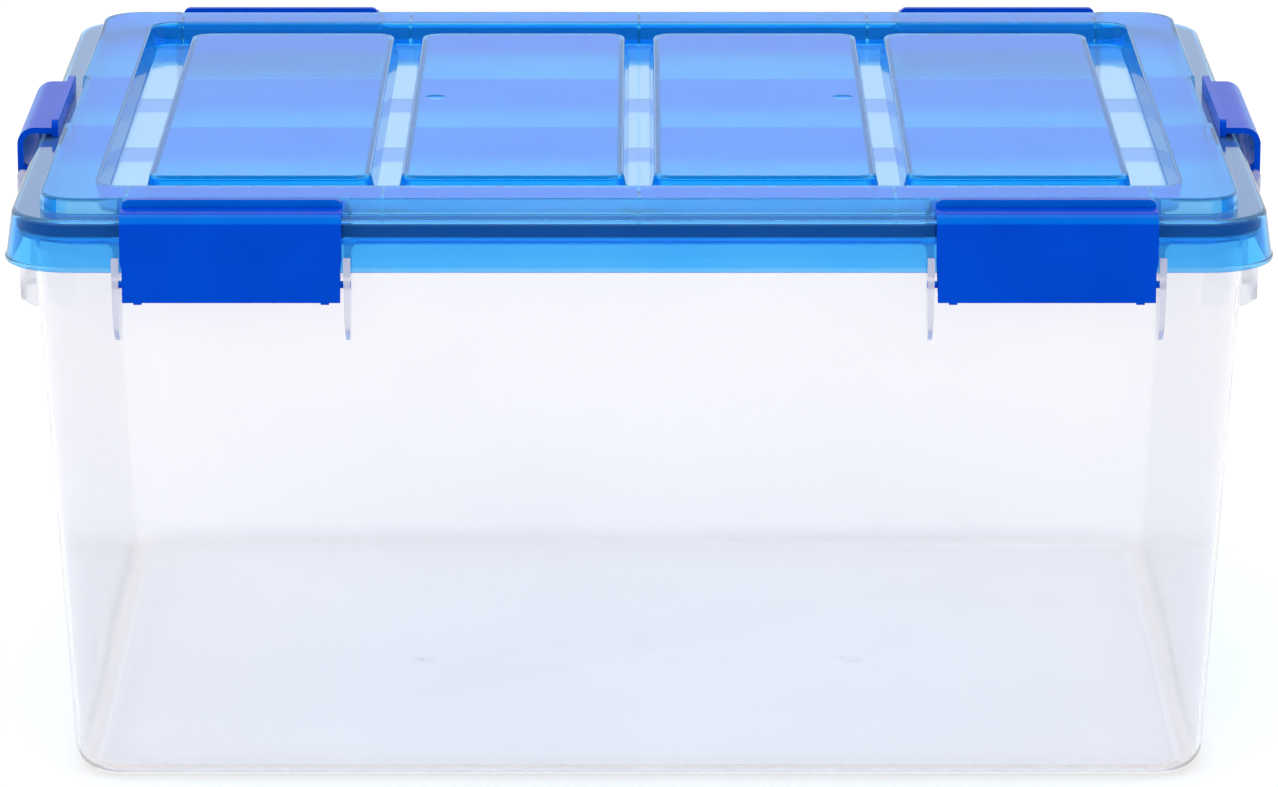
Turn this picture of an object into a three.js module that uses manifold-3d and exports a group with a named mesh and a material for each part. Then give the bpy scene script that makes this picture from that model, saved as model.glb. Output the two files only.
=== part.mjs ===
// A deep storage tote: a clear tapered tub, a tinted lid with a raised and panelled top, a soft seal
// in the lid's channel, and six latches that turn on the tub's fins and hook over the lid's ledge.
// Millimetres, +Z up. The origin is the middle of the footprint on the floor, and the front faces -Y.
import * as THREE from "three";
import { mergeVertices } from "three/addons/utils/BufferGeometryUtils.js";
import Module from "manifold-3d";

const wasm = await Module();
wasm.setup();

// ---- Driving dimensions ----

const lid = {
  length: 602, // skirt, along X
  width: 452, // skirt, along Y
  top: 292, // floor to the top of the rim
  wall: 2.2,
  cornerRadius: 33,
  skirtDrop: 32, // rim top to the skirt's lower edge
  skirtFlare: 3.5,
  beadHeight: 2.4,
  beadStep: 0.7,
  shoulderRound: 2.4,
  ledgeDrop: 7.5, // rim top to the ledge that the latches hook over
  ledgeWidth: 13,
  plateauRadius: 20,
  plateauDraft: 0.5,
  rimRound: 1,
  rimWidth: 27,
  recessDepth: 12,
  recessRadius: 12,
  recessDraft: 2,
  channelWidth: 22.5, // between the recess wall and the panels
  panelCount: 4,
  panelDrop: 1, // rim top to the panels' tops
  panelRadius: 10,
  panelDraft: 2.4,
  panelRound: 1.2,
  grooveWidth: 14.6, // between the panels
  ribThickness: 1.5,
  crossRibY: 54, // out from the middle, in line with the end latches' fins
  crossRibDrop: 21, // top to the cross ribs' lower edge
  lipDrop: 22, // rim top to the lower edge of the lip inside the seal's channel
};

const seal = { height: 6.2, clearance: 0.3 };

const tub = {
  wall: 2.4,
  floor: 3,
  taper: 13.6, // each side, rim to foot
  bottomRound: 12,
  lipClearance: 1.2, // between the wall and the lid's lip
  flangeThickness: 2.6,
  flangeClearance: 0.8,
};

const latch = {
  width: 104,
  plate: 3,
  arm: 3,
  proud: 7, // outer face beyond the skirt
  drop: 44.7, // rim top to the lower edge
  armDrop: 2.6, // rim top to the arm's upper face
  bend: 8.5, // outer radius between the plate and the arm
  hookThickness: 3.3,
  hookRise: 1, // above the rim top
  hookClearance: 0.3, // over the ledge
  hookGap: 3, // from the plateau's wall
  cheek: 3,
  cheekHeight: 17, // above the pivot
  cheekGap: 1, // outside the skirt
  pivotDrop: 37,
  pivotProud: 2, // pivot axis beyond the skirt
  pinRadius: 1.7,
  nubWidth: 4,
  nubHeight: 1,
  nubInset: 8,
  fromLidEnd: 109.5, // the centre of a front or back latch, from the lid's end
};

const fin = {
  thickness: 3.4,
  gap: 0.7, // beside the latch
  hole: 0.4, // around the pin
  hornDrop: 23.5, // rim top to the horn's top
  skirtGap: 1.2, // under the skirt
  hornGap: 2, // outside the skirt
  sideDrop: 67, // rim top to the lower edge, front and back
  sideRound: 18,
  endDrop: 93, // rim top to the lower edge, at the ends
  endRound: 9,
};

const handle = { webDrop: 79, web: 3, lip: 3, lipHeight: 11 };

const notch = { depth: 3, clearance: 3 };

const ARC_STEPS = 3; // half the facets in a corner's quarter turn
const EDGE_STEPS = 4; // facets in a rounded edge's quarter turn
const PIN_FACETS = 16;
const OVERSHOOT = 1; // how far a cut runs past the face that it opens

// ---- Outlines that follow from them ----

// The outline d further in, or further out where d is negative.
const inset = (outline, d) => ({ x: outline.x - d, y: outline.y - d, r: Math.max(outline.r - d, 1) });

const skirt = { x: lid.length / 2, y: lid.width / 2, r: lid.cornerRadius };
const shoulder = inset(skirt, lid.skirtFlare);
const plateau = { ...inset(shoulder, lid.ledgeWidth), r: lid.plateauRadius };
const recess = { ...inset(plateau, lid.rimWidth), r: lid.recessRadius };
const panelField = inset(recess, lid.channelWidth);
const panelPitch = (2 * panelField.x + lid.grooveWidth) / lid.panelCount;
const sealChannel = inset(shoulder, lid.wall);

const skirtBottom = lid.top - lid.skirtDrop;
const ledge = lid.top - lid.ledgeDrop;
const recessFloor = lid.top - lid.recessDepth;
const panelTop = lid.top - lid.panelDrop;
const lipBottom = lid.top - lid.lipDrop;
const sealTop = ledge - lid.wall - seal.clearance;
const tubRim = sealTop - seal.height - seal.clearance;
const pivot = lid.top - latch.pivotDrop;

const tubTop = inset(plateau, -(tub.lipClearance + tub.wall));
const tubFoot = { ...inset(tubTop, tub.taper), r: tubTop.r };

// How far the tub's outer face stands inside the skirt at height z.
const tubInset = (z) => skirt.x - tubTop.x + (tub.taper * (tubRim - z)) / tubRim;

// A latch stands at each of these places: outwards is turned from +X, and along runs to its left.
const alongSide = skirt.x - latch.fromLidEnd;
const stations = [
  { name: "front_left", turn: -Math.PI / 2, along: -alongSide, reach: skirt.y },
  { name: "front_right", turn: -Math.PI / 2, along: alongSide, reach: skirt.y },
  { name: "back_left", turn: Math.PI / 2, along: alongSide, reach: skirt.y },
  { name: "back_right", turn: Math.PI / 2, along: -alongSide, reach: skirt.y },
  { name: "end_left", turn: Math.PI, along: 0, reach: skirt.x, end: true },
  { name: "end_right", turn: 0, along: 0, reach: skirt.x, end: true },
];

// ---- Shape helpers ----

function roundedRectangle({ x, y, r }) {
  const shape = new THREE.Shape();
  const corners = [[1, 1], [-1, 1], [-1, -1], [1, -1]];
  corners.forEach(([sx, sy], quarter) => {
    const from = (quarter * Math.PI) / 2;
    shape.absarc(sx * (x - r), sy * (y - r), r, from, from + Math.PI / 2);
  });
  return shape;
}

// A closed solid through outlines at their heights, from the bottom up. sections are [outline, z].
function loft(sections) {
  const rings = sections.map(([outline, z]) =>
    roundedRectangle(outline).getPoints(ARC_STEPS).map((p) => [p.x, p.y, z]),
  );
  const count = rings[0].length;
  const index = [];
  for (let ring = 0; ring + 1 < rings.length; ring++) {
    for (let i = 0; i < count; i++) {
      const a = ring * count + i;
      const b = ring * count + ((i + 1) % count);
      index.push(a, b, b + count, a, b + count, a + count);
    }
  }
  const last = (rings.length - 1) * count;
  for (let i = 1; i + 1 < count; i++) {
    index.push(0, i + 1, i, last, last + i, last + i + 1);
  }
  const geometry = new THREE.BufferGeometry();
  geometry.setAttribute("position", new THREE.Float32BufferAttribute(rings.flat(2), 3));
  return geometry.setIndex(index);
}

// Sections that round an outline's edge: up to a face above wallZ, or down to one below it.
function roundOver(outline, wallZ, radius, up = 1) {
  const sections = [];
  for (let step = 0; step <= EDGE_STEPS; step++) {
    const angle = ((step / EDGE_STEPS) * Math.PI) / 2;
    sections.push([inset(outline, radius * (1 - Math.cos(angle))), wallZ + up * radius * Math.sin(angle)]);
  }
  return up > 0 ? sections : sections.reverse();
}

// A profile drawn as outwards and up, drawn out along the side of the box, centred at along.
function extrudeAlong(shape, depth, along = 0) {
  const geometry = new THREE.ExtrudeGeometry(shape, { depth, bevelEnabled: false, curveSegments: 5 });
  return geometry.rotateX(Math.PI / 2).translate(0, along + depth / 2, 0);
}

function box(sizeX, sizeY, sizeZ, x, y, z) {
  return new THREE.BoxGeometry(sizeX, sizeY, sizeZ).translate(x, y, z);
}

// A round bar along the side of the box.
function bar(radius, length, along) {
  return new THREE.CylinderGeometry(radius, radius, length, PIN_FACETS).translate(0, along, 0);
}

function solid(geometry) {
  const bare = geometry.clone().deleteAttribute("normal").deleteAttribute("uv");
  const merged = mergeVertices(bare, 1e-4);
  return new wasm.Manifold(
    new wasm.Mesh({
      numProp: 3,
      vertProperties: new Float32Array(merged.attributes.position.array),
      triVerts: new Uint32Array(merged.index.array),
    }),
  );
}

const join = (geometries) => geometries.map(solid).reduce((sum, next) => sum.add(next));

function geometryOf(body) {
  const made = body.getMesh();
  const geometry = new THREE.BufferGeometry();
  geometry.setAttribute("position", new THREE.BufferAttribute(made.vertProperties, 3));
  geometry.setIndex(new THREE.BufferAttribute(made.triVerts, 1));
  geometry.computeVertexNormals();
  return geometry;
}

// A group at the station's pivot, with +X outwards from the box and +Y along its side.
function stationGroup({ turn, along, reach }) {
  const group = new THREE.Group();
  const up = new THREE.Vector3(0, 0, 1);
  group.position.set(reach + latch.pivotProud, along, pivot).applyAxisAngle(up, turn);
  group.rotation.z = turn;
  group.updateMatrixWorld(true);
  return group;
}

const atStation = (geometry, group) => geometry.applyMatrix4(group.matrixWorld);

// ---- Lid ----

function lidOutside() {
  const beadTop = skirtBottom + lid.beadHeight;
  const plateauTop = inset(plateau, lid.plateauDraft);
  return solid(
    loft([
      [inset(skirt, lid.beadStep), skirtBottom],
      [skirt, skirtBottom + lid.beadStep],
      [skirt, beadTop - lid.beadStep],
      [inset(skirt, lid.beadStep), beadTop],
      ...roundOver(shoulder, ledge - lid.shoulderRound, lid.shoulderRound),
      [plateau, ledge],
      ...roundOver(plateauTop, lid.top - lid.rimRound, lid.rimRound),
    ]),
  );
}

// The recess in the lid's top, or with a wall around it, the form that hangs into the lid's hollow.
function lidRecess(wall) {
  const floor = recessFloor - wall;
  return solid(
    loft([
      [inset(recess, lid.recessDraft - wall), floor],
      [inset(recess, -wall), lid.top + OVERSHOOT],
    ]),
  );
}

// The raised panels, or with a wall inside them, their hollows.
function lidPanels(wall) {
  const top = { x: (panelPitch - lid.grooveWidth) / 2, y: panelField.y, r: lid.panelRadius };
  const outline = inset(top, wall - lid.panelDraft);
  const from = recessFloor - (wall ? wall + OVERSHOOT : lid.wall / 2);
  const geometry = loft([
    [outline, from],
    ...roundOver(inset(outline, lid.panelDraft), panelTop - wall - lid.panelRound, lid.panelRound),
  ]);
  return join(
    Array.from({ length: lid.panelCount }, (_, i) =>
      geometry.clone().translate((i - (lid.panelCount - 1) / 2) * panelPitch, 0, 0),
    ),
  );
}

// The plateau's wall steps back behind each latch's hook, with angled ends.
function lidNotches(wall) {
  const half = latch.width / 2 + notch.clearance + wall;
  const mouth = -lid.skirtFlare - lid.ledgeWidth - latch.pivotProud;
  const back = mouth - notch.depth - wall;
  const shape = new THREE.Shape();
  shape.moveTo(mouth + OVERSHOOT, -half - OVERSHOOT);
  shape.lineTo(mouth + OVERSHOOT, half + OVERSHOOT);
  shape.lineTo(back, half - notch.depth);
  shape.lineTo(back, notch.depth - half);
  const floor = ledge - wall - pivot;
  const depth = lid.top + OVERSHOOT - pivot - floor;
  const geometry = new THREE.ExtrudeGeometry(shape, { depth, bevelEnabled: false }).translate(0, 0, floor);
  return join(stations.map((station) => atStation(geometry.clone(), stationGroup(station))));
}

// Thin ribs across the hollow of the rim, in line with the grooves between the panels.
function rimRibs() {
  const height = lid.recessDepth;
  const z = lid.top - height / 2;
  const ribs = [];
  for (let i = 0; i <= lid.panelCount; i++) {
    const x = (i - lid.panelCount / 2) * panelPitch;
    ribs.push(box(lid.ribThickness, 2 * plateau.y, height, x, 0, z));
  }
  return join(ribs);
}

// Two ribs that run the length of the lid under the panels.
function crossRibs() {
  const z = lid.top - lid.crossRibDrop / 2;
  return join(
    [-1, 1].map((side) =>
      box(2 * plateau.x, lid.ribThickness, lid.crossRibDrop, 0, side * lid.crossRibY, z),
    ),
  );
}

function lidHollow() {
  const inside = inset(plateau, lid.wall);
  const insideTop = inset(inside, lid.plateauDraft);
  const belowLid = skirtBottom - OVERSHOOT;
  const underside = solid(loft([[inside, belowLid], [inside, ledge], [insideTop, lid.top - lid.wall]]))
    .subtract(lidRecess(lid.wall))
    .subtract(lidNotches(lid.wall))
    .subtract(rimRibs())
    .add(lidPanels(lid.wall))
    .subtract(crossRibs());
  const channel = solid(
    loft([
      [inset(skirt, lid.beadStep + lid.wall), belowLid],
      [sealChannel, ledge - lid.wall],
    ]),
  ).subtract(solid(loft([[plateau, lipBottom], [plateau, lid.top]])));
  return underside.add(channel);
}

const makeLid = () =>
  lidOutside().subtract(lidRecess(0)).subtract(lidNotches(0)).add(lidPanels(0)).subtract(lidHollow());

// ---- Seal ----

function makeSeal() {
  const outer = inset(sealChannel, seal.clearance);
  const inner = inset(plateau, -seal.clearance);
  const bottom = sealTop - seal.height;
  return solid(loft([[outer, bottom], [outer, sealTop]])).subtract(
    solid(loft([[inner, bottom - OVERSHOOT], [inner, sealTop + OVERSHOOT]])),
  );
}

// ---- Tub ----

function tubShell() {
  const flange = inset(sealChannel, tub.flangeClearance);
  const round = tub.bottomRound;
  const outside = solid(loft([...roundOver(tubFoot, round, round, -1), [tubTop, tubRim]]));
  const rim = solid(loft([[flange, tubRim - tub.flangeThickness], [flange, tubRim]]));
  const hollowTop = inset(tubTop, tub.wall);
  const hollowFoot = inset(tubFoot, tub.wall);
  const innerRound = round - tub.wall;
  const hollow = loft([
    ...roundOver(hollowFoot, tub.floor + innerRound, innerRound, -1),
    [hollowTop, tubRim],
    [hollowTop, tubRim + OVERSHOOT],
  ]);
  return outside.add(rim).subtract(solid(hollow));
}

// A fin's outline as outwards and up from the pivot, rooted halfway into the tub's wall.
function finOutline({ end }) {
  const outer = latch.proud - latch.pivotProud;
  const drop = (end ? fin.endDrop : fin.sideDrop) - latch.pivotDrop;
  const round = end ? fin.endRound : fin.sideRound;
  const shelf = skirtBottom - fin.skirtGap - pivot;
  const hornTop = latch.pivotDrop - fin.hornDrop;
  const hornInner = fin.hornGap - latch.pivotProud;
  const hornRound = (outer - hornInner) / 2;
  const root = (z) => -latch.pivotProud - tubInset(pivot + z) - tub.wall / 2;
  const shape = new THREE.Shape();
  shape.moveTo(root(-drop), -drop);
  shape.lineTo(outer - round, -drop);
  shape.absarc(outer - round, round - drop, round, -Math.PI / 2, 0);
  shape.lineTo(outer, hornTop - hornRound);
  shape.absarc(outer - hornRound, hornTop - hornRound, hornRound, 0, Math.PI);
  shape.lineTo(hornInner, shelf);
  shape.lineTo(root(shelf), shelf);
  return shape;
}

// The carrying handle under an end latch: a web between the fins with a lip along its outer edge.
function handleParts() {
  const outer = latch.proud - latch.pivotProud;
  const webTop = latch.pivotDrop - handle.webDrop;
  const root = -latch.pivotProud - tubInset(pivot + webTop) - tub.wall / 2;
  const length = latch.width + 2 * fin.gap + fin.thickness;
  return [
    box(outer - root, length, handle.web, (outer + root) / 2, 0, webTop - handle.web / 2),
    box(handle.lip, length, handle.lipHeight, outer - handle.lip / 2, 0, webTop - handle.lipHeight / 2),
  ];
}

function makeTub() {
  const finCentre = latch.width / 2 + fin.gap + fin.thickness / 2;
  let body = tubShell();
  for (const station of stations) {
    const group = stationGroup(station);
    const parts = [-1, 1].map((side) => extrudeAlong(finOutline(station), fin.thickness, side * finCentre));
    if (station.end) parts.push(...handleParts());
    const holes = bar(latch.pinRadius + fin.hole, 2 * (finCentre + fin.thickness), 0);
    body = body
      .add(join(parts.map((part) => atStation(part, group))))
      .subtract(solid(atStation(holes, group)));
  }
  return body;
}

// ---- Latch, as outwards and up from its pivot ----

function latchOutline() {
  const outer = latch.proud - latch.pivotProud;
  const inner = outer - latch.plate;
  const bottom = latch.pivotDrop - latch.drop;
  const armTop = latch.pivotDrop - latch.armDrop;
  const armUnder = armTop - latch.arm;
  const hookTop = latch.pivotDrop + latch.hookRise;
  const hookBottom = latch.pivotDrop - lid.ledgeDrop + latch.hookClearance;
  const hookInner = latch.hookGap - lid.skirtFlare - lid.ledgeWidth - latch.pivotProud;
  const hookOuter = hookInner + latch.hookThickness;
  const bend = latch.bend;
  const innerBend = bend - latch.plate;
  const shape = new THREE.Shape();
  shape.moveTo(inner, bottom);
  shape.lineTo(outer, bottom);
  shape.absarc(outer - bend, armTop - bend, bend, 0, Math.PI / 2);
  shape.lineTo(hookOuter, armTop);
  shape.lineTo(hookOuter, hookTop);
  shape.lineTo(hookInner, hookTop);
  shape.lineTo(hookInner, hookBottom);
  shape.lineTo(hookOuter, hookBottom);
  shape.lineTo(hookOuter, armUnder);
  shape.absarc(inner - innerBend, armUnder - innerBend, innerBend, Math.PI / 2, 0, true);
  return shape;
}

// A side cheek, which carries the stub pin and fills in behind the plate.
function cheekOutline() {
  const outer = latch.proud - latch.pivotProud - latch.plate / 2;
  const inner = latch.cheekGap - latch.pivotProud;
  const bottom = latch.pivotDrop - latch.drop;
  const shape = new THREE.Shape();
  shape.moveTo(0, bottom);
  shape.lineTo(outer, bottom);
  shape.lineTo(outer, latch.cheekHeight);
  shape.lineTo(inner, latch.cheekHeight - latch.plate);
  shape.lineTo(inner, bottom / 2);
  return shape;
}

function makeLatch() {
  const side = latch.width / 2;
  const outer = latch.proud - latch.pivotProud;
  const bottom = latch.pivotDrop - latch.drop;
  const pinLength = latch.cheek + fin.gap + fin.thickness;
  const parts = [extrudeAlong(latchOutline(), latch.width)];
  for (const end of [-1, 1]) {
    parts.push(
      extrudeAlong(cheekOutline(), latch.cheek, end * (side - latch.cheek / 2)),
      bar(latch.pinRadius, pinLength, end * (side - latch.cheek + pinLength / 2)),
      box(
        latch.plate - latch.nubHeight,
        latch.nubWidth,
        2 * latch.nubHeight,
        outer - latch.plate / 2,
        end * (side - latch.nubInset),
        bottom,
      ),
    );
  }
  return join(parts);
}

// ---- Materials and assembly ----

const clearPlastic = () =>
  new THREE.MeshStandardMaterial({
    color: 0xeef3fa,
    roughness: 0.18,
    metalness: 0,
    transparent: true,
    opacity: 0.35,
    side: THREE.DoubleSide,
  });

const tintedPlastic = () =>
  new THREE.MeshStandardMaterial({
    color: 0x3f9bea,
    roughness: 0.15,
    metalness: 0,
    transparent: true,
    opacity: 0.7,
    side: THREE.DoubleSide,
  });

const sealRubber = () => new THREE.MeshStandardMaterial({ color: 0x1b2a4a, roughness: 0.75, metalness: 0 });

const latchPlastic = () => new THREE.MeshStandardMaterial({ color: 0x0050d8, roughness: 0.3, metalness: 0 });

function named(name, geometry, material) {
  const mesh = new THREE.Mesh(geometry, material);
  mesh.name = name;
  return mesh;
}

const tote = new THREE.Group();
tote.add(
  named("tub", geometryOf(makeTub()), clearPlastic()),
  named("lid", geometryOf(makeLid()), tintedPlastic()),
  named("lid_seal", geometryOf(makeSeal()), sealRubber()),
);

const latchGeometry = geometryOf(makeLatch());
for (const station of stations) {
  const group = stationGroup(station);
  group.add(named(`latch_${station.name}`, latchGeometry, latchPlastic()));
  tote.add(group);
}

export default tote;
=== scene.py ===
"""A deep lidded storage tote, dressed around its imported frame. Metres, +Z up, the front faces -Y.

The mouldings are lofted and cut here at a finer grain than the frame's, to the same sizes. Each
takes its own plastics: clear and a little milky for the tub, tinted for the lid, opaque for the
latches, and a dark foam for the seal.
"""
import math

import bmesh
import bpy
from mathutils import Matrix, Vector


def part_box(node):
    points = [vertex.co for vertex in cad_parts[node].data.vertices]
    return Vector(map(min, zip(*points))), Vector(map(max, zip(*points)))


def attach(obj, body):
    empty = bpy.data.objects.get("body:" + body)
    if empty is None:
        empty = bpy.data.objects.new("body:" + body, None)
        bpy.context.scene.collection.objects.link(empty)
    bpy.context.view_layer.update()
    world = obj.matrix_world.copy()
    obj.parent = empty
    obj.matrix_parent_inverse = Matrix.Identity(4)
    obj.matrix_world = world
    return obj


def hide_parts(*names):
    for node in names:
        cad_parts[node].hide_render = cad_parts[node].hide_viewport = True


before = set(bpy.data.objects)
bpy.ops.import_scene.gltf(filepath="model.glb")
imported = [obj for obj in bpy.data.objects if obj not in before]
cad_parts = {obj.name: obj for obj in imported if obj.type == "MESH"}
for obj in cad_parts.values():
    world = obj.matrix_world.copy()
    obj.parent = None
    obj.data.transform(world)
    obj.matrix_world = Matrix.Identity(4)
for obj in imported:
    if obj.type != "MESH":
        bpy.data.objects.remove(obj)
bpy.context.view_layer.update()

MM = 0.001

# ---- Sizes of the lid, the tub and the seal; heights and outer edges come from the frame ----

lid_low, lid_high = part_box("lid")
_, tub_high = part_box("tub")
seal_low, seal_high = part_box("lid_seal")

SKIRT = (lid_high[0], lid_high[1], 33 * MM)  # half length, half width, corner radius
LID_TOP = lid_high[2]
SKIRT_BOTTOM = lid_low[2]
LID_WALL = 2.2 * MM
FLARE = 3.5 * MM
BEAD_HEIGHT = 2.4 * MM
BEAD_STEP = 0.7 * MM
SHOULDER_ROUND = 2.4 * MM
LEDGE = LID_TOP - 7.5 * MM
LEDGE_WIDTH = 13 * MM
PLATEAU_RADIUS = 20 * MM
PLATEAU_DRAFT = 0.5 * MM
RIM_ROUND = 1 * MM
RIM_WIDTH = 27 * MM
RECESS_FLOOR = LID_TOP - 12 * MM
RECESS_RADIUS = 12 * MM
RECESS_DRAFT = 2 * MM
RECESS_MOUTH_ROUND = 0.9 * MM
RECESS_FOOT_ROUND = 1.2 * MM
CHANNEL_WIDTH = 22.5 * MM
PANEL_COUNT = 4
PANEL_TOP = LID_TOP - 1 * MM
PANEL_RADIUS = 10 * MM
PANEL_DRAFT = 2.4 * MM
PANEL_ROUND = 1.4 * MM
GROOVE_WIDTH = 14.6 * MM
RIB = 1.5 * MM
RIB_BOTTOM = LID_TOP - 21 * MM
CENTRE_RIB_DEPTH = 15 * MM
LATCH_SPAN = 108 * MM
GATE = (102.6 * MM, 9 * MM)  # a dimple where the plastic entered the mould, on two panels
GATE_RADIUS = 5.4 * MM
GATE_DEPTH = 1.1 * MM
LIP_BOTTOM = LID_TOP - 22 * MM
NOTCH_DEPTH = 3 * MM
NOTCH_CLEARANCE = 3 * MM

TUB_WALL = 2.4 * MM
TUB_FLOOR = 3 * MM
TUB_RIM = tub_high[2]
TUB_TAPER = 13.6 * MM
TUB_ROUND = 12 * MM
LIP_CLEARANCE = 1.2 * MM
FLANGE = 2.6 * MM
FLANGE_CLEARANCE = 0.8 * MM
FLANGE_ROUND = 0.6 * MM
FLOOR_GATE = (109 * MM, -17 * MM)
FLOOR_GATE_RADIUS = 6 * MM
FLOOR_GATE_HEIGHT = 0.6 * MM

SEAL_CLEARANCE = 0.3 * MM
SEAL_ROUND = 1.2 * MM

OVERSHOOT = 1 * MM  # of a cutter past the face it opens
CORNER_STEPS = 14
EDGE_STEPS = 5
DOME_STEPS = 5
CIRCLE_STEPS = 32
SMALLEST_RADIUS = 0.8 * MM
SHARP = math.radians(32)
WELD = 0.002 * MM


def inset(outline, d):
    """A rounded rectangle (half length, half width, corner radius) moved in by d."""
    x, y, r = outline
    return (x - d, y - d, max(r - d, SMALLEST_RADIUS))


SHOULDER = inset(SKIRT, FLARE)
PLATEAU = (*inset(SHOULDER, LEDGE_WIDTH)[:2], PLATEAU_RADIUS)
RECESS = (*inset(PLATEAU, RIM_WIDTH)[:2], RECESS_RADIUS)
PANEL_FIELD = inset(RECESS, CHANNEL_WIDTH)
PANEL_PITCH = (2 * PANEL_FIELD[0] + GROOVE_WIDTH) / PANEL_COUNT
CROSS_RIB = LATCH_SPAN / 2
SEAL_CHANNEL = inset(SHOULDER, LID_WALL)
TUB_TOP = inset(PLATEAU, -(LIP_CLEARANCE + TUB_WALL))
TUB_FOOT = (*inset(TUB_TOP, TUB_TAPER)[:2], TUB_TOP[2])


# ---- Mesh helpers ----


def ring(outline, z):
    """The points of a rounded rectangle at height z."""
    x, y, r = outline
    points = []
    for quarter, (side_x, side_y) in enumerate(((1, 1), (-1, 1), (-1, -1), (1, -1))):
        for step in range(CORNER_STEPS + 1):
            angle = (quarter + step / CORNER_STEPS) * math.pi / 2
            across = side_x * (x - r) + r * math.cos(angle)
            points.append((across, side_y * (y - r) + r * math.sin(angle), z))
    return points


def solid(name, rings):
    """An object skinned over rings of points with flat ends, from the bottom up."""
    mesh = bmesh.new()
    loops = [[mesh.verts.new(p) for p in points] for points in rings]
    count = len(loops[0])
    for low, high in zip(loops, loops[1:]):
        for i in range(count):
            j = (i + 1) % count
            mesh.faces.new((low[i], low[j], high[j], high[i]))
    mesh.faces.new(list(reversed(loops[0])))
    mesh.faces.new(loops[-1])
    return to_object(name, mesh)


def to_object(name, mesh):
    data = bpy.data.meshes.new(name)
    bmesh.ops.recalc_face_normals(mesh, faces=mesh.faces)
    mesh.to_mesh(data)
    mesh.free()
    made = bpy.data.objects.new(name, data)
    bpy.context.scene.collection.objects.link(made)
    return made


def loft(name, sections):
    """A solid through rounded rectangles, given as (outline, height) from the bottom up."""
    return solid(name, [ring(outline, z) for outline, z in sections])


def round_over(outline, wall_z, radius, up=1):
    """Sections that round an edge from a wall to a face above it, or below it where up is -1."""
    sections = []
    for step in range(EDGE_STEPS + 1):
        angle = step / EDGE_STEPS * math.pi / 2
        edge = inset(outline, radius * (1 - math.cos(angle)))
        sections.append((edge, wall_z + up * radius * math.sin(angle)))
    return sections if up > 0 else sections[::-1]


def flare_out(outline, face_z, radius):
    """Sections of a cutter that leave the face round its mouth with a rounded edge."""
    sections = []
    for step in range(EDGE_STEPS + 1):
        angle = step / EDGE_STEPS * math.pi / 2
        edge = inset(outline, -radius * (1 - math.cos(angle)))
        sections.append((edge, face_z - radius + radius * math.sin(angle)))
    return sections


def block(name, size, centre):
    mesh = bmesh.new()
    bmesh.ops.create_cube(mesh, size=1)
    bmesh.ops.scale(mesh, vec=size, verts=mesh.verts)
    bmesh.ops.translate(mesh, vec=centre, verts=mesh.verts)
    return to_object(name, mesh)


def extrude(name, outline, low, high, place=Matrix()):
    """A prism: outline is (outwards, up) points, drawn out along the side from low to high."""
    mesh = bmesh.new()
    near = [mesh.verts.new((u, low, z)) for u, z in outline]
    far = [mesh.verts.new((u, high, z)) for u, z in outline]
    for i in range(len(outline)):
        j = (i + 1) % len(outline)
        mesh.faces.new((near[i], near[j], far[j], far[i]))
    mesh.faces.new(near)
    mesh.faces.new(far[::-1])
    bmesh.ops.transform(mesh, matrix=place, verts=mesh.verts)
    return to_object(name, mesh)


def upright(name, outline, low, high, place=Matrix()):
    """A prism that faces outwards: outline is (along, up) points, drawn out from low to high."""
    return extrude(name, outline, -high, -low, place @ Matrix.Rotation(math.pi / 2, 4, "Z"))


def dome(name, centre, radius, height):
    """A shallow cap on a flat disc, domed upwards, or downwards where height is below 0."""
    x, y, base = centre
    turns = [2 * math.pi * t / CIRCLE_STEPS for t in range(CIRCLE_STEPS)]
    rings = []
    for step in range(DOME_STEPS):
        angle = step / DOME_STEPS * math.pi / 2
        reach, z = radius * math.cos(angle), base + height * math.sin(angle)
        rings.append([(x + reach * math.cos(t), y + reach * math.sin(t), z) for t in turns])
    return solid(name, rings)


def rod(mesh, radius, length, place):
    """Adds to mesh a rod along the place's own Y."""
    bmesh.ops.create_cone(
        mesh, segments=CIRCLE_STEPS, radius1=radius, radius2=radius, depth=length, cap_ends=True,
        matrix=place @ Matrix.Rotation(math.pi / 2, 4, "X"),
    )


def arc(centre, radius, start, end, steps=8):
    """Points of an arc in degrees, both ends included."""
    turns = [math.radians(start + (end - start) * i / steps) for i in range(steps + 1)]
    return [(centre[0] + radius * math.cos(t), centre[1] + radius * math.sin(t)) for t in turns]


def apply_modifiers(body):
    """Makes what the modifiers show the body's own mesh."""
    graph = bpy.context.evaluated_depsgraph_get()
    data = bpy.data.meshes.new_from_object(body.evaluated_get(graph))
    body.modifiers.clear()
    old, body.data = body.data, data
    data.name = body.name
    bpy.data.meshes.remove(old)


def combine(body, tools, operation):
    """Joins tools to the body, or cuts it by them, and deletes them."""
    for tool in tools:
        modifier = body.modifiers.new("combine", "BOOLEAN")
        modifier.operation = operation
        modifier.solver = "EXACT"
        modifier.object = tool
    apply_modifiers(body)
    for tool in tools:
        bpy.data.objects.remove(tool)
    return body


def add(body, *tools):
    return combine(body, tools, "UNION")


def cut(body, *tools):
    return combine(body, tools, "DIFFERENCE")


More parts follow.
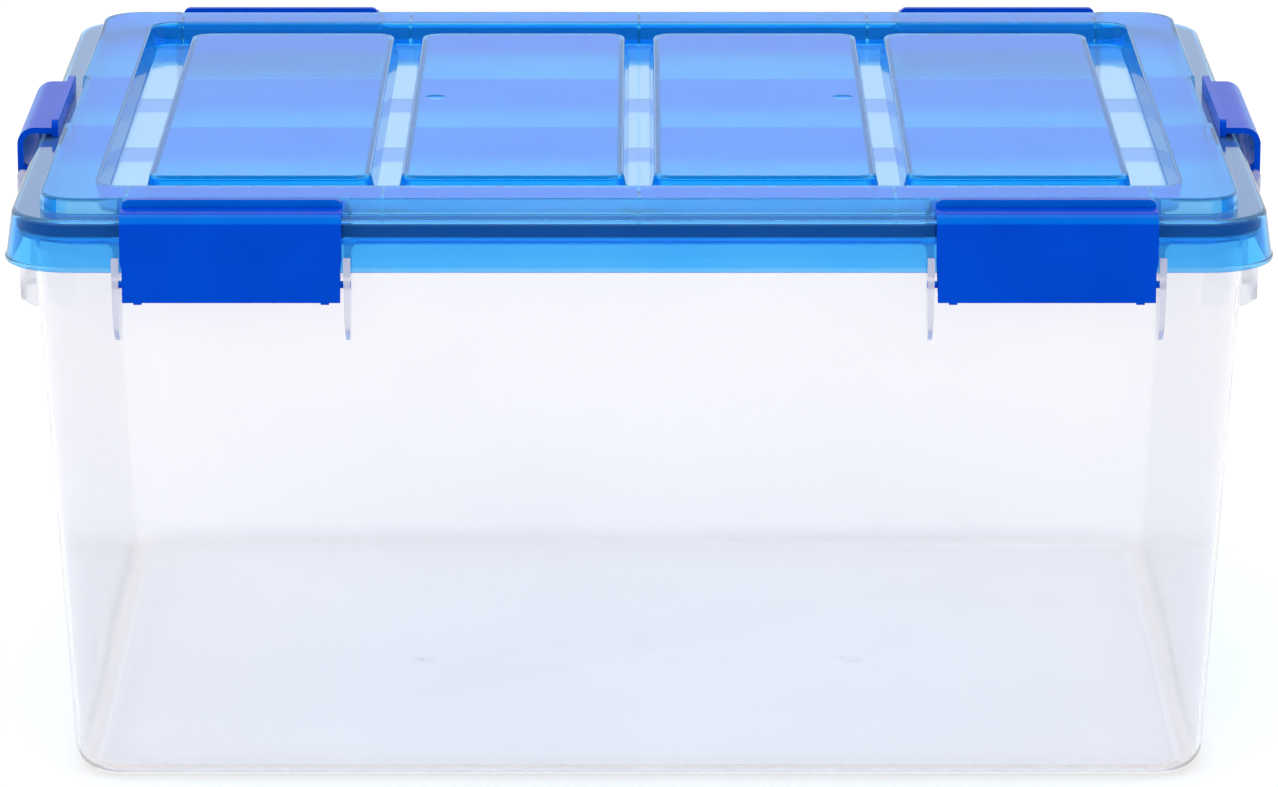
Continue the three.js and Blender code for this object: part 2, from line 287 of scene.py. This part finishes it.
def finish_mesh(body, bevel=None):
    """Softens sharp edges where bevel is given, and shades smooth with flat faces kept flat."""
    if bevel:
        modifier = body.modifiers.new("bevel", "BEVEL")
        modifier.width = bevel
        modifier.segments = 2
        modifier.limit_method = "ANGLE"
        modifier.angle_limit = SHARP
        apply_modifiers(body)
    mesh = bmesh.new()
    mesh.from_mesh(body.data)
    bmesh.ops.remove_doubles(mesh, verts=mesh.verts, dist=WELD)
    bmesh.ops.dissolve_degenerate(mesh, edges=mesh.edges, dist=WELD)
    for face in mesh.faces:
        face.smooth = True
    for edge in mesh.edges:
        edge.smooth = edge.calc_face_angle(0) < SHARP
    mesh.to_mesh(body.data)
    mesh.free()
    modifier = body.modifiers.new("normals", "WEIGHTED_NORMAL")
    modifier.keep_sharp = True
    apply_modifiers(body)
    return body


# ---- Stations: where a latch stands, outwards from the box and along its side ----

PIVOT_PROUD = 2 * MM
PIVOT_DROP = 37  # mm below the lid's top, from which the latches' heights are taken
PIVOT = LID_TOP - PIVOT_DROP * MM
LATCH_NAMES = ("front_left", "front_right", "back_left", "back_right", "end_left", "end_right")


def station(name):
    """The place of a latch's pivot, with +X outwards and +Y along the side."""
    low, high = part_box("latch_" + name)
    if name.startswith("end"):
        turn = 0 if low[0] > 0 else math.pi
        centre = (math.copysign(SKIRT[0] + PIVOT_PROUD, low[0]), 0)
    else:
        turn = math.copysign(math.pi / 2, low[1])
        centre = ((low[0] + high[0]) / 2, math.copysign(SKIRT[1] + PIVOT_PROUD, low[1]))
    return Matrix.Translation((*centre, PIVOT)) @ Matrix.Rotation(turn, 4, "Z")


STATIONS = {name: station(name) for name in LATCH_NAMES}

# Sizes in a station's own frame, whose origin is the pivot.

LATCH_HALF = 52 * MM
LATCH_PLATE = 3 * MM
LATCH_ARM = 3 * MM
LATCH_OUTER = 7 * MM - PIVOT_PROUD
LATCH_BOTTOM = (PIVOT_DROP - 44.7) * MM
ARM_TOP = (PIVOT_DROP - 2.6) * MM
LATCH_BEND = 8.5 * MM
HOOK_THICKNESS = 3.3 * MM
HOOK_TOP = (PIVOT_DROP + 1) * MM
HOOK_INNER = 3 * MM - FLARE - LEDGE_WIDTH - PIVOT_PROUD
HOOK_BOTTOM = LEDGE - PIVOT + 0.3 * MM
HOOK_CORNER = 3.6 * MM
WAIST = (7.5 * MM, 12.5 * MM)
WAIST_INSET = 0.8 * MM
CHEEK_HEIGHT = 17 * MM
CHEEK_SLOPE = 3 * MM
CHEEK_BACK = -1 * MM
CHEEK_RETREAT = 0.15 * MM
NUB = (2 * MM, 4 * MM, 2 * MM)
NUB_FROM_END = 8 * MM
LATCH_BEVEL = 0.35 * MM
PIN_RADIUS = 1.7 * MM
PIN_CLEARANCE = 0.4 * MM

FIN = 3.4 * MM
FIN_THINNING = 0.42
FIN_GAP = 0.7 * MM
FIN_CENTRE = LATCH_HALF + FIN_GAP + FIN / 2
HORN_TOP = (PIVOT_DROP - 23.5) * MM
HORN_INNER = 2 * MM - PIVOT_PROUD
SHELF = SKIRT_BOTTOM - 1.2 * MM - PIVOT
SIDE_FIN_BOTTOM = (PIVOT_DROP - 67) * MM
SIDE_FIN_CORNER = 18 * MM
END_FIN_BOTTOM = (PIVOT_DROP - 93) * MM
END_FIN_CORNER = 9 * MM
POST_TOP = TUB_RIM - FLANGE + 0.5 * MM - PIVOT
POST_BOTTOM = SKIRT_BOTTOM - 2 * MM - PIVOT
POST_FILLET = 5 * MM
WEB_TOP = (PIVOT_DROP - 79) * MM
WEB = 3 * MM
GRIP_LIP = 3 * MM
GRIP_LIP_HEIGHT = 11 * MM
GRIP_FILLET = 1.5 * MM
GRIP_ROUND = 3 * MM
SMALL_BEVEL = 0.3 * MM


# ---- Lid ----


def recess_cutter(wall):
    """The recess to cut where wall is 0, or else the recess and its walls, kept from the hollow."""
    floor = RECESS_FLOOR - wall
    foot = inset(RECESS, RECESS_DRAFT - wall)
    mouth = inset(RECESS, -wall)
    if wall:
        return loft("recess", [(foot, floor), (mouth, LID_TOP + OVERSHOOT)])
    bottom = round_over(foot, floor + RECESS_FOOT_ROUND, RECESS_FOOT_ROUND, -1)
    top = flare_out(mouth, LID_TOP, RECESS_MOUTH_ROUND)
    return loft("recess", [*bottom, *top, (top[-1][0], LID_TOP + OVERSHOOT)])


def panels(wall):
    """The raised panels where wall is 0, or else their insides."""
    top = (PANEL_PITCH / 2 - GROOVE_WIDTH / 2, PANEL_FIELD[1], PANEL_RADIUS)
    outline = inset(top, wall - PANEL_DRAFT)
    start = RECESS_FLOOR - (wall + OVERSHOOT if wall else LID_WALL / 2)
    crown = round_over(inset(outline, PANEL_DRAFT), PANEL_TOP - wall - PANEL_ROUND, PANEL_ROUND)
    made = []
    for i in range(PANEL_COUNT):
        panel = loft("panel", [(outline, start), *crown])
        along = (i - (PANEL_COUNT - 1) / 2) * PANEL_PITCH
        panel.data.transform(Matrix.Translation((along, 0, 0)))
        made.append(panel)
    return made


def notches(wall):
    """The plateau's notches for the hooks where wall is 0, or else their inner sides."""
    half = LATCH_HALF + NOTCH_CLEARANCE + wall
    mouth = -FLARE - LEDGE_WIDTH - PIVOT_PROUD
    back = mouth - NOTCH_DEPTH - wall
    low, high = LEDGE - wall - PIVOT, LID_TOP + OVERSHOOT - PIVOT
    outline = [
        (mouth + OVERSHOOT, -half - OVERSHOOT),
        (mouth + OVERSHOOT, half + OVERSHOOT),
        (back, half - NOTCH_DEPTH),
        (back, NOTCH_DEPTH - half),
    ]
    made = []
    for place in STATIONS.values():
        mesh = bmesh.new()
        bottom = [mesh.verts.new((u, v, low)) for u, v in outline]
        top = [mesh.verts.new((u, v, high)) for u, v in outline]
        for i in range(4):
            j = (i + 1) % 4
            mesh.faces.new((bottom[i], bottom[j], top[j], top[i]))
        mesh.faces.new(bottom)
        mesh.faces.new(top)
        bmesh.ops.transform(mesh, matrix=place, verts=mesh.verts)
        made.append(to_object("notch", mesh))
    return made


def ribs():
    """Ribs under the rim in line with the grooves, one across the middle, and two along the lid."""

    def rib(length, width, depth, x, y):
        return block("rib", (length, width, depth), (x, y, LID_TOP - depth / 2))

    made = []
    reach = PLATEAU[1] - RECESS[1]
    for i in range(PANEL_COUNT + 1):
        x = (i - PANEL_COUNT / 2) * PANEL_PITCH
        for side in (-1, 1):
            y = side * (PLATEAU[1] - reach / 2)
            made.append(rib(RIB, reach, LID_TOP - RECESS_FLOOR, x, y))
    made.append(rib(RIB, 2 * PLATEAU[1], CENTRE_RIB_DEPTH, 0, 0))
    for side in (-1, 1):
        made.append(rib(2 * PLATEAU[0], RIB, LID_TOP - RIB_BOTTOM, 0, side * CROSS_RIB))
    return made


def lid_outside():
    bead_top = SKIRT_BOTTOM + BEAD_HEIGHT
    return loft(
        "tote_lid",
        [
            *round_over(SKIRT, SKIRT_BOTTOM + BEAD_STEP, BEAD_STEP, -1),
            *round_over(SKIRT, bead_top - BEAD_STEP, BEAD_STEP),
            *round_over(SHOULDER, LEDGE - SHOULDER_ROUND, SHOULDER_ROUND),
            (PLATEAU, LEDGE),
            *round_over(inset(PLATEAU, PLATEAU_DRAFT), LID_TOP - RIM_ROUND, RIM_ROUND),
        ],
    )


def lid_hollow():
    """All the space under the lid: inside its plateau, less its ribs, and the seal's channel."""
    inside = inset(PLATEAU, LID_WALL)
    below = SKIRT_BOTTOM - OVERSHOOT
    hollow = loft(
        "hollow",
        [(inside, below), (inside, LEDGE), (inset(inside, PLATEAU_DRAFT), LID_TOP - LID_WALL)],
    )
    cut(hollow, recess_cutter(LID_WALL), *notches(LID_WALL))
    add(hollow, *panels(LID_WALL))
    cut(hollow, *ribs())
    mouth = inset(SKIRT, BEAD_STEP + LID_WALL)
    channel = loft("channel", [(mouth, below), (SEAL_CHANNEL, LEDGE - LID_WALL)])
    cut(channel, loft("column", [(PLATEAU, LIP_BOTTOM), (PLATEAU, LID_TOP)]))
    return add(hollow, channel)


def make_lid():
    lid = cut(lid_outside(), recess_cutter(0), *notches(0))
    add(lid, *panels(0))
    cut(lid, lid_hollow())
    proud = PANEL_TOP + 0.05 * MM
    for side in (-1, 1):
        cut(lid, dome("gate", (side * GATE[0], GATE[1], proud), GATE_RADIUS, -GATE_DEPTH))
    return finish_mesh(lid)


# ---- Seal ----


def make_seal():
    bottom, top = seal_low[2], seal_high[2]
    outer, inner = inset(SEAL_CHANNEL, SEAL_CLEARANCE), inset(PLATEAU, -SEAL_CLEARANCE)
    lower = round_over(outer, bottom + SEAL_ROUND, SEAL_ROUND, -1)
    upper = round_over(outer, top - SEAL_ROUND, SEAL_ROUND)
    seal = loft("tote_seal", [*lower, *upper])
    cut(seal, loft("bore", [(inner, bottom - OVERSHOOT), (inner, top + OVERSHOOT)]))
    return finish_mesh(seal)


# ---- Tub ----


def wall_at(z):
    """How far out the middle of the tub's wall stands, in a station's own frame."""
    taper = TUB_TAPER * (TUB_RIM - PIVOT - z) / TUB_RIM
    return TUB_TOP[0] - SKIRT[0] - PIVOT_PROUD - taper - TUB_WALL / 2


def fin(place, side, end):
    """One fin of a latch, which thins towards its lower end."""
    if end:
        bottom, corner = END_FIN_BOTTOM, END_FIN_CORNER
    else:
        bottom, corner = SIDE_FIN_BOTTOM, SIDE_FIN_CORNER
    horn = (LATCH_OUTER - HORN_INNER) / 2
    outline = [
        (wall_at(bottom), bottom),
        *arc((LATCH_OUTER - corner, bottom + corner), corner, -90, 0),
        *arc((LATCH_OUTER - horn, HORN_TOP - horn), horn, 0, 180),
        (HORN_INNER, SHELF),
        (wall_at(SHELF), SHELF),
    ]
    centre = side * FIN_CENTRE
    made = extrude("fin", outline, centre - FIN / 2, centre + FIN / 2)
    for vertex in made.data.vertices:
        share = min(max(vertex.co.z / SIDE_FIN_BOTTOM, 0), 1)
        vertex.co.y = centre + (vertex.co.y - centre) * (1 - FIN_THINNING * share)
    made.data.transform(place)
    return made


def post(place, side):
    """A fin's upper root, behind the skirt, with a fillet under the flange away from the latch."""
    near, far = FIN_CENTRE - FIN / 2, FIN_CENTRE + FIN / 2
    outline = [
        (near, POST_BOTTOM),
        (far, POST_BOTTOM),
        *arc((far + POST_FILLET, POST_TOP - POST_FILLET), POST_FILLET, 180, 90),
        (near, POST_TOP),
    ]
    edge = inset(SEAL_CHANNEL, FLANGE_CLEARANCE)[0] - SKIRT[0] - PIVOT_PROUD
    turned = [(side * v, z) for v, z in outline]
    return upright("post", turned, wall_at(POST_BOTTOM), edge, place)


def handle(place):
    """An end handle: a web between the fins, and a lip that turns down from its edge."""
    root, half_lip = wall_at(WEB_TOP), GRIP_LIP / 2
    inner_corner = (LATCH_OUTER - GRIP_LIP - GRIP_FILLET, WEB_TOP - WEB - GRIP_FILLET)
    lip_end = (LATCH_OUTER - half_lip, WEB_TOP - GRIP_LIP_HEIGHT + half_lip)
    outline = [
        (root, WEB_TOP),
        (root, WEB_TOP - WEB),
        *arc(inner_corner, GRIP_FILLET, 90, 0, 4),
        *arc(lip_end, half_lip, 180, 360),
        *arc((LATCH_OUTER - GRIP_ROUND, WEB_TOP - GRIP_ROUND), GRIP_ROUND, 0, 90, 5),
    ]
    return extrude("handle", outline, -FIN_CENTRE, FIN_CENTRE, place)


def pin_hole(place):
    mesh = bmesh.new()
    rod(mesh, PIN_RADIUS + PIN_CLEARANCE, 2 * (FIN_CENTRE + FIN), place)
    return to_object("hole", mesh)


def make_tub():
    flange = inset(SEAL_CHANNEL, FLANGE_CLEARANCE)
    lower = round_over(flange, TUB_RIM - FLANGE + FLANGE_ROUND, FLANGE_ROUND, -1)
    upper = round_over(flange, TUB_RIM - FLANGE_ROUND, FLANGE_ROUND)
    tub = loft("tote_tub", [*round_over(TUB_FOOT, TUB_ROUND, TUB_ROUND, -1), (TUB_TOP, TUB_RIM)])
    parts = [loft("rim", [*lower, *upper])]
    for name, place in STATIONS.items():
        end = name.startswith("end")
        parts += [fin(place, side, end) for side in (-1, 1)]
        parts += [post(place, side) for side in (-1, 1)]
        if end:
            parts.append(handle(place))
    add(tub, *parts)
    inner_round = TUB_ROUND - TUB_WALL
    hollow_top, hollow_foot = inset(TUB_TOP, TUB_WALL), inset(TUB_FOOT, TUB_WALL)
    hollow = loft(
        "hollow",
        [
            *round_over(hollow_foot, TUB_FLOOR + inner_round, inner_round, -1),
            (hollow_top, TUB_RIM),
            (hollow_top, TUB_RIM + OVERSHOOT),
        ],
    )
    cut(tub, hollow, *(pin_hole(place) for place in STATIONS.values()))
    x, y = FLOOR_GATE
    gates = [(side * x, y, TUB_FLOOR) for side in (-1, 1)]
    add(tub, *(dome("gate", place, FLOOR_GATE_RADIUS, FLOOR_GATE_HEIGHT) for place in gates))
    return finish_mesh(tub, bevel=SMALL_BEVEL)


# ---- Latches ----


def hooked_plate(name):
    """A latch's plate, bend and arm in one, a little narrower below its waist."""
    inner = LATCH_OUTER - LATCH_PLATE
    arm_end = HOOK_INNER + HOOK_THICKNESS / 2
    bend = (LATCH_OUTER - LATCH_BEND, ARM_TOP - LATCH_BEND)
    profile = [
        (inner, LATCH_BOTTOM),
        (LATCH_OUTER, LATCH_BOTTOM),
        *((LATCH_OUTER, z) for z in WAIST),
        *arc(bend, LATCH_BEND, 0, 90, 12),
        (arm_end, ARM_TOP),
        (arm_end, ARM_TOP - LATCH_ARM),
        *arc(bend, LATCH_BEND - LATCH_PLATE, 90, 0, 12),
        *((inner, z) for z in WAIST[::-1]),
    ]
    plate = extrude(name, profile, -LATCH_HALF, LATCH_HALF)
    for vertex in plate.data.vertices:
        share = min(max((WAIST[1] - vertex.co.z) / (WAIST[1] - WAIST[0]), 0), 1)
        vertex.co.y -= math.copysign(WAIST_INSET * share, vertex.co.y)
    return plate


def hook_bar():
    side, top = LATCH_HALF - HOOK_CORNER, HOOK_TOP - HOOK_CORNER
    outline = [
        (-LATCH_HALF, HOOK_BOTTOM),
        (LATCH_HALF, HOOK_BOTTOM),
        *arc((side, top), HOOK_CORNER, 0, 90),
        *arc((-side, top), HOOK_CORNER, 90, 180),
    ]
    return upright("bar", outline, HOOK_INNER, HOOK_INNER + HOOK_THICKNESS)


def cheeks_and_nubs():
    """The side cheeks, which carry the pins, and two small feet on the plate's lower edge."""
    plate_middle = LATCH_OUTER - LATCH_PLATE / 2
    outline = [
        (0, LATCH_BOTTOM),
        (plate_middle, LATCH_BOTTOM),
        (plate_middle, CHEEK_HEIGHT),
        (CHEEK_BACK, CHEEK_HEIGHT - CHEEK_SLOPE),
        (CHEEK_BACK, LATCH_BOTTOM / 2),
    ]
    end = LATCH_HALF - WAIST_INSET - CHEEK_RETREAT
    made = []
    for side in (-1, 1):
        span = sorted((side * end, side * (end - LATCH_PLATE)))
        made.append(extrude("cheek", outline, *span))
        centre = (plate_middle, side * (LATCH_HALF - NUB_FROM_END), LATCH_BOTTOM)
        made.append(block("nub", NUB, centre))
    return made


def make_latch(name):
    """A latch with its pivot at the origin, and its stub pins."""
    latch = add(hooked_plate(name), hook_bar(), *cheeks_and_nubs())
    finish_mesh(latch, bevel=LATCH_BEVEL)
    pins = bmesh.new()
    reach = FIN_CENTRE + FIN / 2
    length = reach - LATCH_HALF + LATCH_PLATE
    for side in (-1, 1):
        rod(pins, PIN_RADIUS, length, Matrix.Translation((0, side * (reach - length / 2), 0)))
    pin = to_object(name + "_pins", pins)
    finish_mesh(pin, bevel=SMALL_BEVEL)
    return latch, pin


# ---- Materials ----


class Nodes:
    """A material under construction, with short calls for the nodes the materials share."""

    def __init__(self, name):
        self.material = bpy.data.materials.new(name)
        self.material.use_nodes = True
        self.tree = self.material.node_tree
        self.shader = self.tree.nodes["Principled BSDF"]
        self.place = self.tree.nodes.new("ShaderNodeTexCoord").outputs["Object"]

    def noise(self, scale, detail=3):
        node = self.tree.nodes.new("ShaderNodeTexNoise")
        node.inputs["Scale"].default_value = scale
        node.inputs["Detail"].default_value = detail
        self.tree.links.new(self.place, node.inputs["Vector"])
        return node.outputs["Fac"]

    def ramp(self, source, low, high):
        """Stretches the middle of a noise's range from low to high."""
        node = self.tree.nodes.new("ShaderNodeMapRange")
        node.inputs["From Min"].default_value = 0.3
        node.inputs["From Max"].default_value = 0.7
        node.inputs["To Min"].default_value = low
        node.inputs["To Max"].default_value = high
        self.tree.links.new(source, node.inputs["Value"])
        return node.outputs["Result"]

    def colour(self, source, low, high):
        node = self.tree.nodes.new("ShaderNodeMix")
        node.data_type = "RGBA"
        node.inputs["A"].default_value = (*low, 1)
        node.inputs["B"].default_value = (*high, 1)
        self.tree.links.new(self.ramp(source, 0, 1), node.inputs["Factor"])
        self.tree.links.new(node.outputs["Result"], self.shader.inputs["Base Color"])

    def roughness(self, source, low, high):
        self.tree.links.new(self.ramp(source, low, high), self.shader.inputs["Roughness"])

    def bump(self, source, height, strength=1.0):
        node = self.tree.nodes.new("ShaderNodeBump")
        node.inputs["Strength"].default_value = strength
        node.inputs["Distance"].default_value = height
        self.tree.links.new(source, node.inputs["Height"])
        self.tree.links.new(node.outputs["Normal"], self.shader.inputs["Normal"])

    def set(self, **values):
        for name, value in values.items():
            self.shader.inputs[name.replace("_", " ")].default_value = value
        return self

    def pass_light(self, tint):
        """Lets lamp light and scattered light straight through, tinted, so the inside is lit."""
        path = self.tree.nodes.new("ShaderNodeLightPath")
        either = self.tree.nodes.new("ShaderNodeMath")
        either.operation = "MAXIMUM"
        clear = self.tree.nodes.new("ShaderNodeBsdfTransparent")
        clear.inputs["Color"].default_value = (*tint, 1)
        mix = self.tree.nodes.new("ShaderNodeMixShader")
        link = self.tree.links.new
        link(path.outputs["Is Shadow Ray"], either.inputs[0])
        link(path.outputs["Is Diffuse Ray"], either.inputs[1])
        link(either.outputs["Value"], mix.inputs["Fac"])
        link(self.shader.outputs["BSDF"], mix.inputs[1])
        link(clear.outputs["BSDF"], mix.inputs[2])
        link(mix.outputs["Shader"], self.tree.nodes["Material Output"].inputs["Surface"])


def lid_plastic(name, tints, roughness, clear, gloss=0.35, ior=1.49):
    made = Nodes(name).set(IOR=ior, Transmission_Weight=clear, Specular_IOR_Level=gloss)
    made.set(Specular_Tint=(0.05, 0.5, 1, 1))
    made.colour(made.noise(14, 2), *tints)
    made.roughness(made.noise(60, 4), *roughness)
    made.bump(made.noise(28, 2), 0.03 * MM)
    made.pass_light((0.78, 0.88, 0.98))
    return made.material


def tub_plastic(name, tints, clear, passed=(0.985, 0.99, 1.0)):
    made = Nodes(name).set(IOR=1.49, Transmission_Weight=clear)
    made.colour(made.noise(9, 2), *tints)
    made.roughness(made.noise(40, 4), 0.04, 0.08)
    made.bump(made.noise(28, 2), 0.01 * MM)
    made.pass_light(passed)
    return made.material


def seal_rubber():
    made = Nodes("foam_rubber")
    made.colour(made.noise(260, 3), (0.001, 0.012, 0.16), (0.004, 0.02, 0.19))
    made.roughness(made.noise(300, 3), 0.65, 0.85)
    made.bump(made.noise(900, 3), 0.15 * MM, 0.6)
    return made.material


def latch_plastic(name, tints):
    made = Nodes(name).set(IOR=1.3, Specular_IOR_Level=0.4, Specular_Tint=(0.05, 0.55, 1, 1))
    made.colour(made.noise(30, 2), *tints)
    made.roughness(made.noise(50, 2), 0.27, 0.30)
    made.bump(made.noise(1400, 2), 0.006 * MM, 0.4)
    return made.material


def floor_paint():
    made = Nodes("studio_floor").set(Emission_Color=(1, 1, 1, 1), Emission_Strength=0.05)
    made.colour(made.noise(2, 2), (0.93, 0.93, 0.935), (0.95, 0.95, 0.95))
    made.roughness(made.noise(6, 2), 0.75, 0.85)
    return made.material


# ---- Pieces ----

# Each finish gives two tints, which its noise mixes. The lid's then give a range of roughness, and
# all of them a clarity.
BODY, PAINTED_LIGHT, MATT, PAINTED_LIT_WALL, PAINTED_SHADE = range(5)
BODY_TINTS = ((0.07, 0.47, 0.985), (0.09, 0.50, 0.99))
# Lighter tints: a copy of the lid plastic that paints highlights on rounded edges and light on the
# ledge and channel floors.
PAINTED_LIGHT_TINTS = ((0.30, 0.64, 0.985), (0.33, 0.67, 0.99))
MATT_TINTS = ((0.01, 0.40, 0.985), (0.02, 0.43, 0.99))
# Lighter, less clear tints that paint the plateau's outer walls as brightly lit.
PAINTED_LIT_WALL_TINTS = ((0.22, 0.62, 0.985), (0.26, 0.66, 0.99))
# Darker, deeper tints that paint shade on the recess and panel walls, the ribs and the gate
# dimples.
PAINTED_SHADE_TINTS = ((0.01, 0.38, 0.965), (0.02, 0.42, 0.975))
LID_COLOURS = (
    lid_plastic("tinted_plastic", BODY_TINTS, (0.03, 0.06), 0.965),
    lid_plastic("tinted_plastic_painted_light", PAINTED_LIGHT_TINTS, (0.03, 0.05), 0.92),
    lid_plastic("tinted_plastic_matt", MATT_TINTS, (0.08, 0.13), 0.88, gloss=0.2, ior=1.25),
    lid_plastic("tinted_plastic_painted_lit_wall", PAINTED_LIT_WALL_TINTS, (0.05, 0.09), 0.60),
    lid_plastic("tinted_plastic_painted_shade", PAINTED_SHADE_TINTS, (0.03, 0.06), 0.82),
)
CLEAR, MILKY, PALE, FOOT = range(4)
CLEAR_TINTS = ((0.92, 0.912, 0.93), (0.94, 0.93, 0.945))
MILKY_TINTS = ((0.58, 0.58, 0.70), (0.62, 0.62, 0.74))
PALE_TINTS = ((0.82, 0.81, 0.84), (0.85, 0.84, 0.87))
TUB_COLOURS = (
    tub_plastic("clear_plastic", CLEAR_TINTS, 0.88),
    tub_plastic("clear_plastic_milky", MILKY_TINTS, 0.45),
    tub_plastic("clear_plastic_pale", PALE_TINTS, 0.65),
    # The foot looks the same as the clear plastic, but lets less, warmer lamp light through, to
    # cast a contact shadow on the floor.
    tub_plastic("clear_plastic_foot", CLEAR_TINTS, 0.88, passed=(0.86, 0.80, 0.75)),
)
SEAL_COLOUR = seal_rubber()
LATCH_COLOURS = (
    latch_plastic("opaque_plastic", ((0.0, 0.048, 0.52), (0.0, 0.056, 0.57))),
    # A lighter copy of the latch plastic, a painted highlight on the bend and the hook's outer
    # face.
    latch_plastic("opaque_plastic_painted_highlight", ((0.0, 0.115, 0.62), (0.0, 0.13, 0.66))),
)


def lid_finish(face):
    """Which copy of the lid's plastic a face takes, by where it is and how steep.

    Besides the body and the matt tops, the copies paint light and shade: lighter ones for
    highlights and light on the rounded edges, bead, ledge, channel floors and the plateau's outer
    walls, and a darker one for shade on the walls, ribs and gate dimples.
    """
    x, y, z = abs(face.center.x), abs(face.center.y), face.center.z
    level = abs(face.normal.z) > 0.9
    in_recess = x < RECESS[0] - RECESS_DRAFT and y < RECESS[1] - RECESS_DRAFT
    in_gate = math.hypot(x - GATE[0], y - GATE[1]) < GATE_RADIUS
    # The gate dimples take the darker copy as painted shade.
    if in_recess and in_gate and z > PANEL_TOP - 1 * MM:
        return PAINTED_SHADE if z < PANEL_TOP - 0.02 * MM else MATT
    if level and z > PANEL_TOP - 3 * MM:
        return MATT
    # In the recess, level faces and the panels' side rounds take the lighter copy as painted light,
    # and the walls and front and back rounds the darker copy as painted shade.
    if in_recess and z > RECESS_FLOOR - LID_WALL - 0.2 * MM:
        edge = z > PANEL_TOP - PANEL_ROUND and abs(face.normal.x) > 0.3
        return PAINTED_LIGHT if level or edge else PAINTED_SHADE
    # The rim's rounded edges take the lighter copy as painted highlights.
    if z > LID_TOP - RIM_ROUND:
        return PAINTED_LIGHT
    # Inside the plateau, faces above the recess floor take the darker copy as painted shade.
    if x < PLATEAU[0] - LID_WALL - MM and y < PLATEAU[1] - LID_WALL - MM:
        return PAINTED_SHADE if z > RECESS_FLOOR else BODY
    # The skirt's bead takes the lighter copy as a painted highlight.
    if z < SKIRT_BOTTOM + BEAD_HEIGHT:
        return PAINTED_LIGHT
    # The shoulder round and the ledge take the lighter copy as painted light, and the plateau's
    # outer walls a lighter, less clear copy, also painted light.
    if z > LEDGE - SHOULDER_ROUND - 0.1 * MM:
        return PAINTED_LIGHT if z < LEDGE + 0.1 * MM else PAINTED_LIT_WALL
    return BODY


def tub_finish(face):
    """Milkier fins and handles, which stand off the walls, and a foot that passes less, warmer lamp
    light, so that it casts a contact shadow on the floor.
    """
    x, y, z = abs(face.center.x), abs(face.center.y), face.center.z
    stand_off = 1.5 * MM
    if z > TUB_RIM - FLANGE - stand_off:
        return CLEAR
    # The lower walls pass less light, to cast a contact shadow on the floor.
    if z < 2 * TUB_ROUND and abs(face.normal.z) < 0.97:
        return FOOT
    if x > TUB_TOP[0] + stand_off:
        return PALE
    return MILKY if y > TUB_TOP[1] + stand_off else CLEAR


def is_painted_highlight(face):
    """True on the latch's bend and the hook's outer face, which take a lighter copy of the plastic
    as a painted highlight.
    """
    bend = 0.45 < face.normal.z < 0.93 and face.normal.x > 0.2
    hook = face.center.z > ARM_TOP + 0.2 * MM and face.normal.x > 0.5
    return bend or hook


def settle(piece, materials, body, slot, *nodes):
    """Gives a piece its materials and its body, and hides the nodes it stands in for. The slot is
    not used.
    """
    piece.data.materials.clear()
    for material in materials:
        piece.data.materials.append(material)
    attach(piece, body)
    if nodes:
        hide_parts(*nodes)


tub_piece = make_tub()
settle(tub_piece, TUB_COLOURS, "tub", "tub_plastic", "tub")
for tub_face in tub_piece.data.polygons:
    tub_face.material_index = tub_finish(tub_face)
lid_piece = make_lid()
settle(lid_piece, LID_COLOURS, "lid", "lid_plastic", "lid")
for lid_face in lid_piece.data.polygons:
    lid_face.material_index = lid_finish(lid_face)
settle(make_seal(), [SEAL_COLOUR], "lid", "seal_rubber", "lid_seal")
for latch_name, latch_place in STATIONS.items():
    latch_body = "latch_" + latch_name
    for latch_piece in make_latch("tote_" + latch_body):
        # The bend and the hook's outer face take the lighter copy, a painted highlight.
        painted_highlight = [is_painted_highlight(face) for face in latch_piece.data.polygons]
        latch_piece.data.transform(latch_place)
        replaced = () if latch_piece.name.endswith("pins") else (latch_body,)
        settle(latch_piece, LATCH_COLOURS, latch_body, "latch_plastic", *replaced)
        for latch_face, takes_highlight in zip(latch_piece.data.polygons, painted_highlight):
            latch_face.material_index = int(takes_highlight)

# ---- Studio ----

floor = block("studio_floor", (30, 30, 0.02), (0, 0, -0.01))
floor.data.materials.append(floor_paint())

scene = bpy.context.scene
world = bpy.data.worlds.new("studio")
scene.world = world
world.use_nodes = True
world.node_tree.nodes["Background"].inputs["Color"].default_value = (1, 1, 1, 1)
world.node_tree.nodes["Background"].inputs["Strength"].default_value = 1.0


def softbox(name, place, target, size, power):
    data = bpy.data.lights.new(name, "AREA")
    data.shape = "RECTANGLE"
    data.size, data.size_y = size
    data.energy = power
    lamp = bpy.data.objects.new(name, data)
    scene.collection.objects.link(lamp)
    lamp.location = place
    aim = Vector(target) - Vector(place)
    lamp.rotation_euler = aim.to_track_quat("-Z", "Y").to_euler()


softbox("key", (-1.2, -1.4, 2.4), (0, 0, 0.15), (1.6, 1.6), 7.5)
softbox("top", (0, 0.4, 2.4), (0, 0, 0.25), (2.6, 0.25), 10.5)

SENSOR_MM = 36
LENS_MM = 179.83
CAMERA_PLACE = (0, -3.1313, 1.0110)
CAMERA_TILT = math.radians(74.4274)

camera_data = bpy.data.cameras.new("camera")
camera_data.sensor_width = SENSOR_MM
camera_data.lens = LENS_MM
camera = bpy.data.objects.new("camera", camera_data)
camera.location = CAMERA_PLACE
camera.rotation_euler = (CAMERA_TILT, 0, 0)
scene.collection.objects.link(camera)
scene.camera = camera
scene.view_settings.view_transform = "Standard"
scene.cycles.max_bounces = 16
scene.cycles.transmission_bounces = 16
